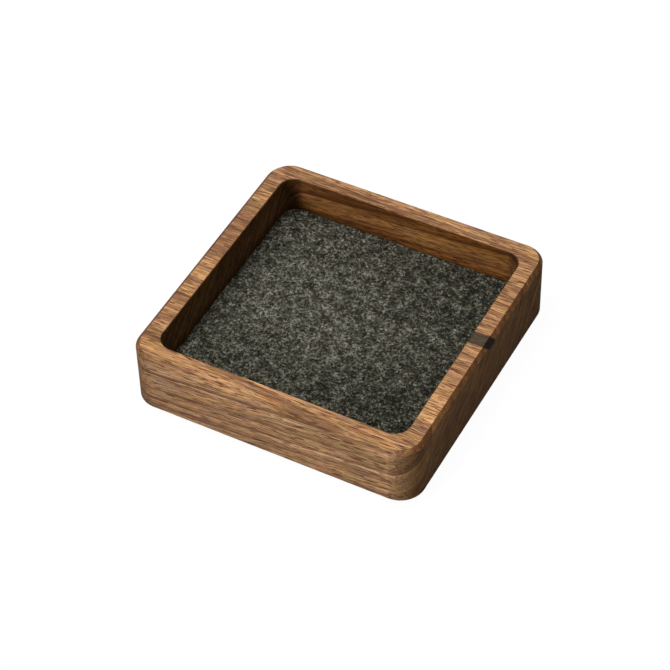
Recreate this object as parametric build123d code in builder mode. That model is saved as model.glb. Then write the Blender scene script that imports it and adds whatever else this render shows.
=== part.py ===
"""Small square desk tray.

One walnut board is milled into an open tray, a die-cut felt liner is glued to the
floor of its pocket, and four stick-on feet carry it clear of the desk.
Millimetres, +Z up, front of the tray towards -Y. The origin is the centre of the
plane that the four feet stand on.
"""
import os
from build123d import *

# Walnut tray
tray_length = 90.0      # left to right, along the grain
tray_width = 90.0       # front to back
body_height = 20.6      # thickness of the planed board
corner_radius = 7.5     # outer upright corners
wall = 6.0              # what the cutter leaves on all four sides
pocket_depth = 15.4     # from the rim down to the wooden floor
pocket_radius = 4.8     # radius of the cutter that clears the pocket
rim_chamfer = 1.2       # flat bevel round the outside of the rim
rim_ease = 0.3          # sanded inner edge of the rim
base_chamfer = 0.7      # flat bevel round the underside

# Felt liner and the film that bonds it
felt_thickness = 3.0
felt_edge = 0.5         # cut edge, pressed round at the top
film_thickness = 0.2
liner_clearance = 0.2   # gap between the liner and the pocket wall

# Feet
foot_diameter = 8.0
foot_thickness = 1.5
foot_edge = 0.4         # moulded rounding of the lower rim
foot_setback = 7.0      # from the tray's outer faces to the foot's rim

# Heights of the faces that pieces share
underside = foot_thickness
rim = underside + body_height
pocket_floor = rim - pocket_depth
film_top = pocket_floor + film_thickness
felt_top = film_top + felt_thickness

# Plan sizes of what is cut into or laid in the tray
pocket_length = tray_length - 2 * wall
pocket_width = tray_width - 2 * wall
liner_length = pocket_length - 2 * liner_clearance
liner_width = pocket_width - 2 * liner_clearance
liner_radius = pocket_radius - liner_clearance
foot_span_x = tray_length - 2 * foot_setback - foot_diameter
foot_span_y = tray_width - 2 * foot_setback - foot_diameter

os.makedirs("parts", exist_ok=True)


def save(piece, node):
    """Label a finished piece and write it as its own file."""
    piece.part.label = node
    export_step(piece.part, f"parts/{node}.step")


# The tray is cut from one board, so the walls and floor are a single piece
with BuildPart() as tray_body:
    with BuildSketch(Plane.XY.offset(underside)):
        RectangleRounded(tray_length, tray_width, corner_radius)
    extrude(amount=body_height)
    with BuildSketch(Plane.XY.offset(rim)):
        RectangleRounded(pocket_length, pocket_width, pocket_radius)
    extrude(amount=-pocket_depth, mode=Mode.SUBTRACT)
    chamfer(faces().sort_by(Axis.Z)[-1].outer_wire().edges(), length=rim_chamfer)
    fillet(faces().sort_by(Axis.Z)[-1].inner_wires()[0].edges(), radius=rim_ease)
    chamfer(faces().sort_by(Axis.Z)[0].outer_wire().edges(), length=base_chamfer)
save(tray_body, "tray_body")

# Double-sided film, die-cut together with the felt
with BuildPart() as liner_adhesive:
    with BuildSketch(Plane.XY.offset(pocket_floor)):
        RectangleRounded(liner_length, liner_width, liner_radius)
    extrude(amount=film_thickness)
save(liner_adhesive, "liner_adhesive")

# Felt liner, wall to wall in the pocket
with BuildPart() as felt_liner:
    with BuildSketch(Plane.XY.offset(film_top)):
        RectangleRounded(liner_length, liner_width, liner_radius)
    extrude(amount=felt_thickness)
    fillet(faces().sort_by(Axis.Z)[-1].edges(), radius=felt_edge)
save(felt_liner, "felt_liner")

# Four round feet, one near each corner of the underside
foot_places = {
    "foot_front_left": (-foot_span_x / 2, -foot_span_y / 2),
    "foot_front_right": (foot_span_x / 2, -foot_span_y / 2),
    "foot_back_left": (-foot_span_x / 2, foot_span_y / 2),
    "foot_back_right": (foot_span_x / 2, foot_span_y / 2),
}
for node, place in foot_places.items():
    with BuildPart() as foot:
        with BuildSketch():
            with Locations(place):
                Circle(foot_diameter / 2)
        extrude(amount=foot_thickness)
        fillet(faces().sort_by(Axis.Z)[0].edges(), radius=foot_edge)
    save(foot, node)
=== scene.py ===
"""Looks for a small square desk tray: oiled walnut, charcoal felt liner, rubber feet."""
import math

import bpy
import numpy as np
from mathutils import Matrix, Vector, noise


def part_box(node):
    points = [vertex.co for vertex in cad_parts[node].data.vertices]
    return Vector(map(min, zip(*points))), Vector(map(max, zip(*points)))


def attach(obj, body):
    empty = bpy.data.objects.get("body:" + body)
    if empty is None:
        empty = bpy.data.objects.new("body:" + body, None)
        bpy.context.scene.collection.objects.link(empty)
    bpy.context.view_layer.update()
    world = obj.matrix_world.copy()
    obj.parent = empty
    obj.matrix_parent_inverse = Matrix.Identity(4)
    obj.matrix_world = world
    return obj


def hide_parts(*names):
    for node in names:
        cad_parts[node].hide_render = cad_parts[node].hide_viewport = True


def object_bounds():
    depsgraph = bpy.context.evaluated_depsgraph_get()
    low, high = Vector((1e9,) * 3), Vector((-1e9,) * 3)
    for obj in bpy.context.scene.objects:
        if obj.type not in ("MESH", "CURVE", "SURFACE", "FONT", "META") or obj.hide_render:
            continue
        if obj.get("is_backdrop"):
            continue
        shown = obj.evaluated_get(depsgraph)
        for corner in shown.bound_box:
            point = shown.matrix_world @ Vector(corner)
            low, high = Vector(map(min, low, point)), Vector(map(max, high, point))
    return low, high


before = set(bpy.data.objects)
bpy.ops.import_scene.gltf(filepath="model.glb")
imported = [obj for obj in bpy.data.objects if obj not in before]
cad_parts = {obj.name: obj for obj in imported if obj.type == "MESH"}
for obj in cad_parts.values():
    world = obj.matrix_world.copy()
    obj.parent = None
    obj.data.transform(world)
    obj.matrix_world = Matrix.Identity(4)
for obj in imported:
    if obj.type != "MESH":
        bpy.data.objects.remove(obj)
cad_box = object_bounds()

MM = 0.001

# The view, found from the outline and the edges of the tray in the photograph
CAMERA_PLACE = Vector((232.51, -425.087, 514.806)) * MM
CAMERA_TARGET = Vector((-3.302, 1.223, 4.749)) * MM
CAMERA_ROLL = math.radians(-1.575)
CAMERA_LENS = 130.11
CAMERA_SENSOR = 36.0

# The board: where the heart of the trunk ran, in mm, and how the grain climbs to the right
HEART_Y = -110.0
HEART_Z = 120.0
GRAIN_CLIMB = math.atan(0.085)

# Where the look of the walnut changes, in mm: each pair is where a change begins and where
# it is complete
POCKET_WALL = (39.4, 39.1)    # from the middle of the tray, on the way into the pocket
BELOW_RIM = (22.0, 21.7)      # height, on the way down from the rim
ABOVE_BASE = (3.0, 4.0)       # height, on the way up from the underside
WALL_MIDDLE = 15.2            # height, about half way up a pocket wall
# Between these heights the pocket walls get a painted contact shadow by the felt
FELT_SHADE_HEIGHTS = (12.2, 10.2)     # height, on the way down to the felt
BOARD_ENDS = (-42.0, 42.0)    # along the board, from the left rim to the right rim

# The knot in the right rim, in mm: heights between which it slopes towards the back, how far
# behind the middle of the tray it lies at each of them, the height of its centre, and its
# half width
KNOT_HEIGHTS = (22.1, 19.2)
KNOT_MIDDLES = (3.45, 5.6)
KNOT_LEVEL = 21.6
KNOT_REACH = 2.4

# Growth rings: radius from the heart in mm, and how dark the late wood is at the
# left end of the board and at the right end
RINGS = (
    (119.9, 1.0, 1.0), (125.0, 0.5, 0.7), (128.4, 0.8, 0.9), (131.6, 1.0, 0.5), (134.0, 0.3, 0.3),
    (136.6, 1.0, 0.9), (140.6, 0.9, 1.0), (147.0, 1.0, 0.9), (154.3, 0.7, 0.8), (156.6, 0.1, 0.8),
    (158.9, 1.0, 0.2), (161.3, 0.2, 1.0), (164.2, 0.3, 0.6), (167.2, 0.4, 0.7), (170.8, 0.5, 0.8),
    (172.9, 0.5, 0.8), (175.4, 0.7, 0.8), (177.4, 0.4, 0.8), (179.4, 1.1, 0.3), (180.8, 0.2, 1.1),
    (184.6, 0.8, 0.8), (189.5, 0.8, 0.7), (193.0, 0.6, 0.8),
)

# The few broad bands that stand out on this board: middle along the board, half length,
# radius from the heart and half width in mm, and how much paler (or darker, below zero) the
# wood is there
BANDS = (
    (-34.0, 30.0, 120.4, 2.0, -0.38),   # dark grey streak, left third of the front
    (-12.0, 34.0, 122.2, 1.8, 0.20),    # pale streak right under it
    (20.0, 22.0, 120.0, 1.8, 0.12),     # pale right half of the front rim
    (12.0, 20.0, 128.4, 2.5, 0.14),     # pale patch low in the middle of the front
    (42.0, 16.0, 133.0, 7.0, 0.32),     # pale front part of the right rim
    (-42.0, 20.0, 152.0, 14.0, -0.16),  # darker middle of the left rim
    (42.0, 14.0, 165.0, 2.5, 0.10),     # pale stripe on the right rim, behind the knot
    (-20.0, 22.0, 178.5, 2.0, -0.16),   # dark band under the rim, back wall on the left
    (12.0, 26.0, 179.5, 2.0, -0.14),    # the same band further right
    (-14.0, 32.0, 181.4, 2.2, 0.18),    # pale middle of the back wall
    (-16.0, 18.0, 183.2, 1.2, -0.18),   # thin dark streak low on the back wall
    (-15.0, 45.0, 184.0, 4.0, 0.13),    # pale back rim, most of all on the left
)


def linear(code):
    """Turn an sRGB hex colour into a linear colour with alpha."""
    channels = [int(code[i:i + 2], 16) / 255 for i in (0, 2, 4)]
    return [c / 12.92 if c <= 0.04045 else ((c + 0.055) / 1.055) ** 2.4 for c in channels] + [1.0]


def add(tree, kind, inputs=None, out=0, stops=None, **settings):
    """Add a node with its properties and inputs, link inputs that are sockets, return an output."""
    made = tree.nodes.new(kind)
    for name, value in settings.items():
        setattr(made, name, value)
    for socket, value in (inputs or {}).items():
        if isinstance(value, bpy.types.NodeSocket):
            tree.links.new(value, made.inputs[socket])
        else:
            made.inputs[socket].default_value = value
    for index, (position, code) in enumerate(stops or []):
        elements = made.color_ramp.elements
        element = elements[index] if index < len(elements) else elements.new(1.0)
        element.position = position
        element.color = linear(code)
    return made.outputs[out] if made.outputs else None


def new_tree(owner):
    """Clear the node tree of a material or a world and return it."""
    owner.use_nodes = True
    owner.node_tree.nodes.clear()
    return owner.node_tree


def walnut():
    """Black walnut, cut from one board, milled, sanded and oiled.

    The eye sees fine dark pores and fibres along the board, uneven growth rings with a thin
    dark line and a light one after it, ends that drank more oil and went dark, and a satin,
    never glossy, skin.
    """
    material = bpy.data.materials.new("oiled_walnut")
    tree = new_tree(material)
    place = add(tree, "ShaderNodeTexCoord", out="Object")
    mm = add(tree, "ShaderNodeVectorMath", {0: place, "Scale": 1 / MM}, operation="SCALE")
    along = add(tree, "ShaderNodeSeparateXYZ", {0: mm}, out="X")
    straight = add(tree, "ShaderNodeMapping", {"Vector": mm, "Rotation": (0.0, GRAIN_CLIMB, 0.0)})

    # The grain wanders by a third of a millimetre or so in 40 mm, and hardly at all in 8 mm
    grain = straight
    for length, width, sway in ((40.0, 30.0, 1.2), (8.0, 4.0, 0.15)):
        spot = add(tree, "ShaderNodeVectorMath",
                   {0: straight, 1: (1 / length, 1 / width, 1 / width)}, operation="MULTIPLY")
        wander = add(tree, "ShaderNodeTexNoise", {"Vector": spot, "Scale": 1.0, "Detail": 1.0},
                     out="Color")
        wander = add(tree, "ShaderNodeVectorMath", {0: wander, 1: (0.5, 0.5, 0.5)},
                     operation="SUBTRACT")
        grain = add(tree, "ShaderNodeVectorMath", {0: wander, 1: (0.0, sway, sway), 2: grain},
                    operation="MULTIPLY_ADD")

    # Distance from the heart of the trunk, which the rings follow
    spoke = add(tree, "ShaderNodeVectorMath",
                {0: grain, 1: (0.0, 1.0, 1.0), 2: (0.0, -HEART_Y, -HEART_Z)},
                operation="MULTIPLY_ADD")
    radius = add(tree, "ShaderNodeVectorMath", {0: spoke}, out="Value", operation="LENGTH")

    # Which way the surface faces: end grain, upward, or slanted as on the bevels
    normal = add(tree, "ShaderNodeTexCoord", out="Normal")
    facing = add(tree, "ShaderNodeSeparateXYZ", {0: normal}).node
    end = add(tree, "ShaderNodeMath", {0: facing.outputs["X"]}, operation="ABSOLUTE")
    end_grain = add(tree, "ShaderNodeMath", {0: end, 1: 4.0}, operation="POWER")
    cross = add(tree, "ShaderNodeMath", {0: end, 1: end}, operation="MULTIPLY")
    upward = add(tree, "ShaderNodeMath", {0: facing.outputs["Z"]}, operation="ABSOLUTE")
    slant = add(tree, "ShaderNodeMath", {0: upward, 1: upward}, operation="MULTIPLY")
    slant = add(tree, "ShaderNodeMath", {0: upward, 1: slant}, operation="SUBTRACT")
    slant = add(tree, "ShaderNodeMath", {0: slant, 1: 4.0}, operation="MULTIPLY", use_clamp=True)
    end_slant = add(tree, "ShaderNodeMath", {0: slant, 1: end}, operation="MULTIPLY")
    long_slant = add(tree, "ShaderNodeMath", {0: slant, 1: end_slant}, operation="SUBTRACT")

    # Where the surface is a wall of the pocket, where on that wall its top and bottom are, and
    # where it meets the felt
    inner = add(tree, "ShaderNodeVectorMath", {0: mm}, operation="ABSOLUTE")
    inner = add(tree, "ShaderNodeSeparateXYZ", {0: inner}).node
    wide = add(tree, "ShaderNodeMath", {0: inner.outputs["X"], 1: inner.outputs["Y"]},
               operation="MAXIMUM")
    pocket = add(tree, "ShaderNodeMapRange", {"Value": wide, "From Min": POCKET_WALL[0],
                                              "From Max": POCKET_WALL[1]})
    for outside, inside in (BELOW_RIM, ABOVE_BASE):
        level = add(tree, "ShaderNodeMapRange", {"Value": inner.outputs["Z"], "From Min": outside,
                                                 "From Max": inside})
        pocket = add(tree, "ShaderNodeMath", {0: pocket, 1: level}, operation="MULTIPLY")
    margin = add(tree, "ShaderNodeMath", {0: inner.outputs["Z"], 1: WALL_MIDDLE},
                 operation="SUBTRACT")
    margin = add(tree, "ShaderNodeMath", {0: margin}, operation="ABSOLUTE")
    margin = add(tree, "ShaderNodeMapRange", {"Value": margin, "From Min": 1.5, "From Max": 4.0},
                 interpolation_type="SMOOTHSTEP")
    margin = add(tree, "ShaderNodeMath", {0: margin, 1: pocket}, operation="MULTIPLY")
    # Painted contact shadow: pocket walls darken over the last two millimetres down to the felt
    felt_contact_shade = add(tree, "ShaderNodeMapRange", {"Value": inner.outputs["Z"],
                                             "From Min": FELT_SHADE_HEIGHTS[0], "From Max": FELT_SHADE_HEIGHTS[1]})
    felt_contact_shade = add(tree, "ShaderNodeMath", {0: felt_contact_shade, 1: pocket}, operation="MULTIPLY")

    # Each ring darkens for two millimetres up to its late wood, then starts again lighter
    rings = None
    for at, left, right in RINGS:
        across = add(tree, "ShaderNodeMapRange",
                     {"Value": radius, "From Min": at - 2.2, "From Max": at + 2.8})
        line = add(tree, "ShaderNodeValToRGB", {"Fac": across}, stops=[
            (0.0, "BCBCBC"), (0.28, "ACACAC"), (0.38, "7C7C7C"), (0.43, "505050"), (0.46, "707070"),
            (0.51, "DCDCDC"), (0.62, "D0D0D0"), (0.85, "BCBCBC")])
        line = add(tree, "ShaderNodeMath", {0: line, 1: linear("BCBCBC")[0]}, operation="SUBTRACT")
        dark = add(tree, "ShaderNodeMapRange",
                   {"Value": along, "From Min": BOARD_ENDS[0], "From Max": BOARD_ENDS[1],
                    "To Min": left, "To Max": right})
        rings = add(tree, "ShaderNodeMath", {0: line, 1: dark, 2: rings or 0.0},
                    operation="MULTIPLY_ADD")

    tone = add(tree, "ShaderNodeMath", {0: rings, 1: 0.8}, operation="MULTIPLY")
    # Streaks that follow the rings, several millimetres wide and narrower
    for length, width, weight in ((60.0, 7.0, 0.4), (30.0, 1.6, 0.55)):
        spot = add(tree, "ShaderNodeCombineXYZ", {"X": along, "Y": radius})
        spot = add(tree, "ShaderNodeVectorMath", {0: spot, 1: (1 / length, 1 / width, 0.0)},
                   operation="MULTIPLY")
        streak = add(tree, "ShaderNodeTexNoise", {"Vector": spot, "Scale": 1.0, "Detail": 1.0},
                     noise_dimensions="2D")
        streak = add(tree, "ShaderNodeMath", {0: streak, 1: 0.5}, operation="SUBTRACT")
        tone = add(tree, "ShaderNodeMath", {0: streak, 1: weight, 2: tone},
                   operation="MULTIPLY_ADD")
    # The long sides show this figure best, and the end grain least
    long_side = add(tree, "ShaderNodeMath", {0: facing.outputs["Y"], 1: facing.outputs["Y"]},
                    operation="MULTIPLY")
    shown = add(tree, "ShaderNodeMath", {0: long_side, 1: 0.5, 2: 0.75}, operation="MULTIPLY_ADD")
    shown = add(tree, "ShaderNodeMath", {0: end_grain, 1: -0.25, 2: shown},
                operation="MULTIPLY_ADD")
    tone = add(tree, "ShaderNodeMath", {0: tone, 1: shown, 2: 0.5}, operation="MULTIPLY_ADD")
    # Broad paler and darker bands of this board, stretched along the grain
    for at, reach, ring, width, paler in BANDS:
        spot = add(tree, "ShaderNodeCombineXYZ", {"X": along, "Y": radius})
        spot = add(tree, "ShaderNodeVectorMath", {0: spot, 1: (at, ring, 0.0)},
                   operation="SUBTRACT")
        spot = add(tree, "ShaderNodeVectorMath", {0: spot, 1: (1 / reach, 1 / width, 0.0)},
                   operation="MULTIPLY")
        band = add(tree, "ShaderNodeVectorMath", {0: spot}, out="Value", operation="LENGTH")
        band = add(tree, "ShaderNodeMapRange", {"Value": band, "From Min": 1.0, "From Max": 0.0,
                                                "To Max": paler}, interpolation_type="SMOOTHSTEP")
        tone = add(tree, "ShaderNodeMath", {0: tone, 1: band}, operation="ADD")
    # The end grain also has blotches, about five millimetres long, that follow the rings; 150 mm
    # is about how far the board is from the heart, so a turn becomes millimetres
    split = add(tree, "ShaderNodeSeparateXYZ", {0: spoke}).node
    turn = add(tree, "ShaderNodeMath", {0: split.outputs["Z"], 1: split.outputs["Y"]},
               operation="ARCTAN2")
    spot = add(tree, "ShaderNodeCombineXYZ", {"X": turn, "Y": radius, "Z": along})
    spot = add(tree, "ShaderNodeVectorMath", {0: spot, 1: (150.0 / 5.0, 1 / 1.8, 1 / 20.0)},
               operation="MULTIPLY")
    mottle = add(tree, "ShaderNodeTexNoise",
                 {"Vector": spot, "Scale": 1.0, "Detail": 3.0, "Roughness": 0.65})
    blotch = add(tree, "ShaderNodeMath", {0: mottle, 1: 0.5}, operation="SUBTRACT")
    blotch = add(tree, "ShaderNodeMath", {0: blotch, 1: end_grain}, operation="MULTIPLY")
    tone = add(tree, "ShaderNodeMath", {0: blotch, 1: 1.6, 2: tone}, operation="MULTIPLY_ADD")
    # Fibres, flecks and pores, all nearly straight: they climb with the grain on the upright
    # faces and run level on the rim, and on the end grain they show less. Most real ones are
    # under 0.2 mm wide, and they are drawn 0.2 to 0.55 mm wide so that they show
    lean = add(tree, "ShaderNodeMath", {0: 1.0, 1: upward}, operation="SUBTRACT")
    lean = add(tree, "ShaderNodeMath", {0: lean, 1: along}, operation="MULTIPLY")
    lean = add(tree, "ShaderNodeMath", {0: lean, 1: -math.tan(GRAIN_CLIMB)}, operation="MULTIPLY")
    lean = add(tree, "ShaderNodeCombineXYZ", {"Z": lean})
    fibre = add(tree, "ShaderNodeVectorMath", {0: mm, 1: lean}, operation="ADD")
    fibre = add(tree, "ShaderNodeVectorMath", {0: wander, 1: (0.0, 0.3, 0.3), 2: fibre},
                operation="MULTIPLY_ADD")
    lengthwise = add(tree, "ShaderNodeMath", {0: cross, 1: -0.7, 2: 1.0}, operation="MULTIPLY_ADD")
    threads = []
    for length, width, weight in (
            (12.0, 0.30, 0.6),     # fibres
            (2.4, 0.30, 0.45),     # flecks
            (3.6, 0.22, 0.0),      # pores, which darken the wood further down
            (18.0, 0.55, 0.65),    # broad fibres
            (0.8, 0.30, 0.2)):     # specks
        spot = add(tree, "ShaderNodeVectorMath", {0: fibre, 1: (1 / length, 1 / width, 1 / width)},
                   operation="MULTIPLY")
        thread = add(tree, "ShaderNodeTexNoise", {"Vector": spot, "Scale": 1.0, "Detail": 0.5})
        threads.append(thread)
        swing = add(tree, "ShaderNodeMath", {0: thread, 1: 0.5}, operation="SUBTRACT")
        swing = add(tree, "ShaderNodeMath", {0: swing, 1: lengthwise}, operation="MULTIPLY")
        tone = add(tree, "ShaderNodeMath", {0: swing, 1: weight, 2: tone}, operation="MULTIPLY_ADD")
    # Pores lie where the third of these peaks, and are fainter on the end grain
    pore = add(tree, "ShaderNodeMapRange",
               {"Value": threads[2], "From Min": 0.57, "From Max": 0.61})
    cut = add(tree, "ShaderNodeMapRange",
              {"Value": end, "From Min": 0.6, "From Max": 0.1, "To Min": 0.4})
    pore = add(tree, "ShaderNodeMath", {0: pore, 1: cut}, operation="MULTIPLY")
    tone = add(tree, "ShaderNodeMath", {0: pore, 1: -0.7, 2: tone}, operation="MULTIPLY_ADD")
    colour = add(tree, "ShaderNodeValToRGB", {"Fac": tone}, stops=[
        (0.0, "694735"), (0.18, "855F46"), (0.34, "997051"), (0.44, "A57B58"), (0.52, "B0845F"),
        (0.62, "BC8F67"), (0.78, "D3A374"), (1.0, "E9B782")])
    # The hue drifts between pink and green, and between straw and greyish violet
    spot = add(tree, "ShaderNodeVectorMath", {0: grain, 1: (1 / 6.0, 1 / 1.2, 1 / 1.2)},
               operation="MULTIPLY")
    cast = add(tree, "ShaderNodeTexNoise", {"Vector": spot, "Scale": 1.0, "Detail": 2.0},
               out="Color")
    cast = add(tree, "ShaderNodeSeparateXYZ", {0: cast}).node
    for axis, first, last in (("X", "FFF2F7", "F2FCF6"), ("Y", "FFFFE0", "F1F1FF")):
        hue = add(tree, "ShaderNodeValToRGB", {"Fac": cast.outputs[axis]},
                  stops=[(0.3, first), (0.7, last)])
        colour = add(tree, "ShaderNodeMix", {0: 1.0, 6: colour, 7: hue}, out=2, data_type="RGBA",
                     blend_type="MULTIPLY")

    # Knot: a dark bark streak, four to five millimetres across, runs out of the right end
    shift = add(tree, "ShaderNodeMapRange",
                {"Value": inner.outputs["Z"],
                 "From Min": KNOT_HEIGHTS[0], "From Max": KNOT_HEIGHTS[1],
                 "To Min": -KNOT_MIDDLES[0], "To Max": -KNOT_MIDDLES[1]})
    shift = add(tree, "ShaderNodeCombineXYZ", {"Y": shift, "Z": -KNOT_LEVEL})
    spot = add(tree, "ShaderNodeVectorMath", {0: mm, 1: shift}, operation="ADD")
    spot = add(tree, "ShaderNodeVectorMath", {0: spot, 1: (0.0, 1 / KNOT_REACH, 1 / KNOT_REACH)},
               operation="MULTIPLY")
    knot = add(tree, "ShaderNodeVectorMath", {0: spot}, out="Value", operation="LENGTH")
    knot = add(tree, "ShaderNodeMath", {0: threads[1], 1: 0.35, 2: knot}, operation="MULTIPLY_ADD")
    knot = add(tree, "ShaderNodeMath", {0: mottle, 1: 0.7, 2: knot}, operation="MULTIPLY_ADD")
    knot = add(tree, "ShaderNodeMapRange", {"Value": knot, "From Min": 1.62, "From Max": 1.45})
    right_end = add(tree, "ShaderNodeMapRange",
                    {"Value": along, "From Min": 28.0, "From Max": 31.0})
    knot = add(tree, "ShaderNodeMath", {0: knot, 1: right_end}, operation="MULTIPLY")
    bark = add(tree, "ShaderNodeValToRGB", {"Fac": threads[1]},
               stops=[(0.36, "33271C"), (0.62, "524536")])
    bark = add(tree, "ShaderNodeMix", {0: end, 6: bark, 7: linear("1F1B17")}, out=2,
               data_type="RGBA")
    colour = add(tree, "ShaderNodeMix", {0: knot, 6: colour, 7: bark}, out=2, data_type="RGBA")

    # The wood differs face by face: end grain drinks the oil and goes dark. Bevels are a little
    # darker than the flats, which is painted shade, and long sides are greyer, a painted
    # reflection of the white floor. Upright faces are darker low down. Pocket walls are darker,
    # the front and back ones browner too, and darkest in the corners, partly from end grain and
    # mostly as painted shade. They are darker again near their top and bottom, and darker still
    # where they meet the felt, which is painted contact shadow
    drunk = add(tree, "ShaderNodeMath", {0: end, 1: 0.6}, operation="POWER", use_clamp=True)
    drunk = add(tree, "ShaderNodeMath", {0: drunk, 1: pocket}, operation="SUBTRACT", use_clamp=True)
    low = add(tree, "ShaderNodeMapRange",
              {"Value": inner.outputs["Z"], "From Min": 21.0, "From Max": 1.0})
    low = add(tree, "ShaderNodeMath", {0: low, 1: upward}, operation="SUBTRACT", use_clamp=True)
    # Long sides are painted greyer and cooler, most where the wood is paler: a painted reflection
    # of the white floor
    painted_side_reflection = add(tree, "ShaderNodeValToRGB", {"Fac": tone}, stops=[(0.2, "F2F7F3"), (0.85, "E6EDFF")])
    # Pocket walls by which way they face: flat walls darker and browner, end grain walls greyer,
    # and the corners between them darkest, which is painted shade
    pocket_grain_and_corner_shade = add(tree, "ShaderNodeValToRGB", {"Fac": end}, stops=[
        (0.0, "D6C09A"), (0.10, "BCA98C"), (0.30, "91816C"), (0.60, "897E6C"), (0.85, "9C9789"),
        (1.0, "C4C8C5")])
    for where, tint in (
            (drunk, linear("938F82")), (end_grain, linear("FCF8EC")),
            # painted shade on the bevels, deeper on the long sides than on the end grain
            (long_slant, linear("DAD6D0")), (end_slant, linear("F8DFC9")), (long_side, painted_side_reflection),
            (low, linear("E4E2E0")), (pocket, pocket_grain_and_corner_shade), (margin, linear("E7DFC7")),
            (felt_contact_shade, linear("DCD2C6"))):
        colour = add(tree, "ShaderNodeMix", {0: where, 6: colour, 7: tint}, out=2, data_type="RGBA",
                     blend_type="MULTIPLY")

    height = add(tree, "ShaderNodeMath", {0: pore, 1: -1.0, 2: threads[0]},
                 operation="MULTIPLY_ADD")
    bump = add(tree, "ShaderNodeBump", {"Height": height, "Strength": 0.4, "Distance": 0.05 * MM})
    rough = add(tree, "ShaderNodeMath", {0: pore, 1: end}, operation="MAXIMUM")
    rough = add(tree, "ShaderNodeMapRange", {"Value": rough, "To Min": 0.55, "To Max": 0.9})
    shade = add(tree, "ShaderNodeBsdfPrincipled",
                {"Base Color": colour, "Roughness": rough, "IOR": 1.45, "Specular IOR Level": 0.1,
                 "Normal": bump})
    add(tree, "ShaderNodeOutputMaterial", {"Surface": shade})
    return material


def wool_felt():
    """Wool felt, pressed from dark and light grey fibres.

    The eye sees a matt charcoal mat of tangled light and dark clumps about half a millimetre
    wide. The fibres themselves are too fine to show, so the clumps stand for them.
    """
    material = bpy.data.materials.new("pressed_wool_felt")
    tree = new_tree(material)
    place = add(tree, "ShaderNodeTexCoord", out="Object")
    mm = add(tree, "ShaderNodeVectorMath", {0: place, "Scale": 1 / MM}, operation="SCALE")
    # The clumps, from a tenth of a millimetre to nearly one
    clump = add(tree, "ShaderNodeTexNoise",
                {"Vector": mm, "Scale": 1.15, "Detail": 3.0, "Roughness": 0.9, "Distortion": 0.3})
    # Painted pool of light: the mat is lighter left of the middle and darker towards the walls,
    # where painted shade falls; its tone also varies in patches about three millimetres wide
    light_pool_distance = add(tree, "ShaderNodeVectorMath", {0: mm, 1: (-15.0, 0.0, 9.9)}, out="Value",
                 operation="DISTANCE")
    tone = add(tree, "ShaderNodeMapRange", {"Value": light_pool_distance, "From Min": 15.0, "From Max": 60.0,
                                            "To Min": -0.885, "To Max": -1.035})
    patch = add(tree, "ShaderNodeTexNoise", {"Vector": mm, "Scale": 0.32, "Detail": 1.0})
    tone = add(tree, "ShaderNodeMath", {0: patch, 1: 0.5, 2: tone}, operation="MULTIPLY_ADD")
    tone = add(tree, "ShaderNodeMath", {0: clump, 1: 2.3, 2: tone}, operation="MULTIPLY_ADD")
    colour = add(tree, "ShaderNodeValToRGB", {"Fac": tone}, stops=[
        (0.14, "040402"), (0.30, "1A1912"), (0.42, "302F25"), (0.52, "424136"), (0.64, "5A594D"),
        (0.90, "949287")])
    bump = add(tree, "ShaderNodeBump", {"Height": tone, "Strength": 0.5, "Distance": 0.25 * MM})
    shade = add(tree, "ShaderNodeBsdfPrincipled",
                {"Base Color": colour, "Roughness": 0.95, "Specular IOR Level": 0.08,
                 "Normal": bump, "Sheen Weight": 0.03, "Sheen Roughness": 0.6})
    add(tree, "ShaderNodeOutputMaterial", {"Surface": shade})
    return material


def moulded_rubber():
    """Black rubber, moulded: the eye sees a dark matt skin with a fine leathery texture."""
    material = bpy.data.materials.new("moulded_rubber")
    tree = new_tree(material)
    place = add(tree, "ShaderNodeTexCoord", out="Object")
    mm = add(tree, "ShaderNodeVectorMath", {0: place, "Scale": 1 / MM}, operation="SCALE")
    skin = add(tree, "ShaderNodeTexNoise", {"Vector": mm, "Scale": 2.5, "Detail": 3.0})
    colour = add(tree, "ShaderNodeValToRGB", {"Fac": skin},
                 stops=[(0.3, "171717"), (0.7, "242424")])
    bump = add(tree, "ShaderNodeBump", {"Height": skin, "Strength": 0.3, "Distance": 0.05 * MM})
    shade = add(tree, "ShaderNodeBsdfPrincipled",
                {"Base Color": colour, "Roughness": 0.72, "Normal": bump})
    add(tree, "ShaderNodeOutputMaterial", {"Surface": shade})
    return material


def adhesive_film():
    """Double-sided adhesive film: the eye sees a thin, cloudy, cream-coloured sheet."""
    material = bpy.data.materials.new("adhesive_film")
    tree = new_tree(material)
    place = add(tree, "ShaderNodeTexCoord", out="Object")
    mm = add(tree, "ShaderNodeVectorMath", {0: place, "Scale": 1 / MM}, operation="SCALE")
    haze = add(tree, "ShaderNodeTexNoise", {"Vector": mm, "Scale": 0.2, "Detail": 3.0})
    colour = add(tree, "ShaderNodeValToRGB", {"Fac": haze},
                 stops=[(0.3, "D8D3C4"), (0.7, "E8E4D8")])
    shade = add(tree, "ShaderNodeBsdfPrincipled", {"Base Color": colour, "Roughness": 0.45})
    add(tree, "ShaderNodeOutputMaterial", {"Surface": shade})
    return material


def dress(node, material):
    """Give a CAD node its material in every slot."""
    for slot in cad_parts[node].material_slots:
        slot.material = material


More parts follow.
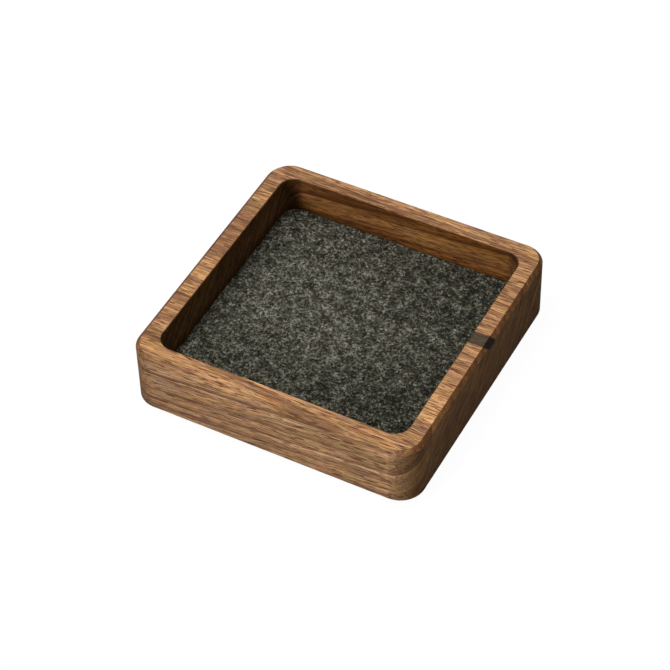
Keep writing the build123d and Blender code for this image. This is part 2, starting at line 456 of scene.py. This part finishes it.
def felt_liner():
    """The felt liner: one sheet with a lumpy face and frayed cut edges."""
    low, high = [Vector(corner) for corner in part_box("felt_liner")]
    half = (high.x - low.x) / 2
    corner = 4.6 * MM      # radius of the rounded corners
    edge = 0.7 * MM        # width of the frayed edge
    lump = 0.16 * MM       # height of the lumps, up or down
    sunk = 0.1 * MM        # how far the face lies below the felt's nominal top
    frayed = 0.17 * MM     # about how far the edge is drawn in where it is frayed most
    cells = 160
    ticks = np.linspace(-1.0, 1.0, cells + 1)
    points = []
    for v in ticks:
        for u in ticks:
            # A square grid pushed into the rounded square of the pocket
            x, y = u * half, v * half
            inner = half - corner
            out_x, out_y = abs(x) - inner, abs(y) - inner
            if out_x > 0 and out_y > 0:
                reach = max(out_x, out_y) / math.hypot(out_x, out_y)
                x = math.copysign(inner + out_x * reach, x)
                y = math.copysign(inner + out_y * reach, y)
            out_x, out_y = max(abs(x) - inner, 0), max(abs(y) - inner, 0)
            if out_x and out_y:
                gap = corner - math.hypot(out_x, out_y)
            else:
                gap = min(half - abs(x), half - abs(y))
            near = max(1 - gap / edge, 0)
            spot = Vector((x, y, 0)) / MM
            rough = noise.fractal(spot * 0.3, 0.9, 2.0, 2) * 0.5 + noise.noise(spot * 0.85) * 0.9
            # The cut edge is frayed by a sixth of a millimetre or so and stands up in tufts
            fray = 1 - frayed / half * near * (0.5 + noise.noise(spot * 0.7))
            tuft = near * (0.15 + 0.25 * noise.noise(spot * 1.3)) * MM
            points.append((x * fray, y * fray, high.z - sunk + tuft + lump * rough))
    count = cells + 1
    rim = ([i for i in range(count)] + [j * count + cells for j in range(1, count)]
           + [cells * count + i for i in range(cells - 1, -1, -1)]
           + [j * count for j in range(cells - 1, 0, -1)])
    faces = [(j * count + i, j * count + i + 1, (j + 1) * count + i + 1, (j + 1) * count + i)
             for j in range(cells) for i in range(cells)]
    start = len(points)
    points += [(points[i][0], points[i][1], low.z) for i in rim]
    size = len(rim)
    for k in range(size):
        after = (k + 1) % size
        faces.append((rim[after], rim[k], start + k, start + after))
    faces.append(tuple(start + k for k in reversed(range(size))))
    mesh = bpy.data.meshes.new("felt_sheet")
    mesh.from_pydata(points, [], faces)
    mesh.materials.append(wool_felt())
    for polygon in mesh.polygons:
        polygon.use_smooth = True
    sheet = bpy.data.objects.new("felt_sheet", mesh)
    bpy.context.scene.collection.objects.link(sheet)
    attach(sheet, "root")
    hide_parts("felt_liner")


def seen_white(tree):
    """Tell what the eye, a mirror or glass sees from what only lights the tray."""
    path = add(tree, "ShaderNodeLightPath").node
    seen = add(tree, "ShaderNodeMath",
               {0: path.outputs["Is Camera Ray"], 1: path.outputs["Is Glossy Ray"]},
               operation="MAXIMUM")
    return add(tree, "ShaderNodeMath", {0: seen, 1: path.outputs["Is Transmission Ray"]},
               operation="MAXIMUM")


def white_surroundings():
    """A white floor that keeps a faint shadow, and a white backdrop that hardly lights the tray."""
    material = bpy.data.materials.new("white_paper_floor")
    tree = new_tree(material)
    paper = add(tree, "ShaderNodeBsdfDiffuse", {"Color": (0.7, 0.7, 0.7, 1.0)})
    shadow = add(tree, "ShaderNodeBsdfDiffuse", {"Color": (0.04, 0.04, 0.04, 1.0)})
    glow = add(tree, "ShaderNodeEmission", {"Strength": 0.97})
    bright = add(tree, "ShaderNodeAddShader", {0: shadow, 1: glow})
    both = add(tree, "ShaderNodeMixShader", {0: seen_white(tree), 1: paper, 2: bright})
    add(tree, "ShaderNodeOutputMaterial", {"Surface": both})
    half = 3.0    # half the floor's width, in metres
    mesh = bpy.data.meshes.new("floor")
    mesh.from_pydata([(-half, -half, 0), (half, -half, 0), (half, half, 0), (-half, half, 0)], [],
                     [(0, 1, 2, 3)])
    mesh.materials.append(material)
    floor = bpy.data.objects.new("floor", mesh)
    bpy.context.scene.collection.objects.link(floor)
    floor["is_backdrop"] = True

    world = bpy.data.worlds.new("studio")
    bpy.context.scene.world = world
    tree = new_tree(world)
    dim = add(tree, "ShaderNodeBackground", {"Color": (1.0, 1.0, 1.0, 1.0), "Strength": 0.09})
    white = add(tree, "ShaderNodeBackground", {"Color": (1.0, 1.0, 1.0, 1.0), "Strength": 1.0})
    both = add(tree, "ShaderNodeMixShader", {0: seen_white(tree), 1: dim, 2: white})
    add(tree, "ShaderNodeOutputWorld", {"Surface": both})


def soft_lamp(name, place, size, power):
    """A round lamp that points at the tray: place and size in metres, power in watts."""
    lamp = bpy.data.lights.new(name, "AREA")
    lamp.shape = "DISK"
    lamp.size = size
    lamp.energy = power
    made = bpy.data.objects.new(name, lamp)
    made.location = place
    made.rotation_euler = (-made.location).to_track_quat("-Z", "Y").to_euler()
    bpy.context.scene.collection.objects.link(made)


def camera():
    """The view of the photograph."""
    lens = bpy.data.cameras.new("camera")
    lens.lens = CAMERA_LENS
    lens.sensor_width = CAMERA_SENSOR
    lens.clip_start = 0.01
    eye = bpy.data.objects.new("camera", lens)
    aim = (CAMERA_TARGET - CAMERA_PLACE).to_track_quat("-Z", "Y").to_matrix()
    turn = Matrix.Rotation(CAMERA_ROLL, 3, "Z")
    eye.matrix_world = Matrix.Translation(CAMERA_PLACE) @ (aim @ turn).to_4x4()
    bpy.context.scene.collection.objects.link(eye)
    bpy.context.scene.camera = eye


camera()
white_surroundings()
# The overhead lamp lights the rims and the felt, the low one the front and the back wall
soft_lamp("overhead_lamp", (-0.18, -0.15, 1.1), 0.55, 11.4)
soft_lamp("front_lamp", (-0.334, -1.049, 0.477), 0.3, 8.8)
felt_liner()
dress("tray_body", walnut())
dress("liner_adhesive", adhesive_film())
rubber = moulded_rubber()
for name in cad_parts:
    if name.startswith("foot_"):
        dress(name, rubber)
bpy.context.scene.view_settings.view_transform = "Standard"

boxes = {"cad": cad_box, "visual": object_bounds()}
boxes = {name: [list(corner) for corner in box] for name, box in boxes.items()}
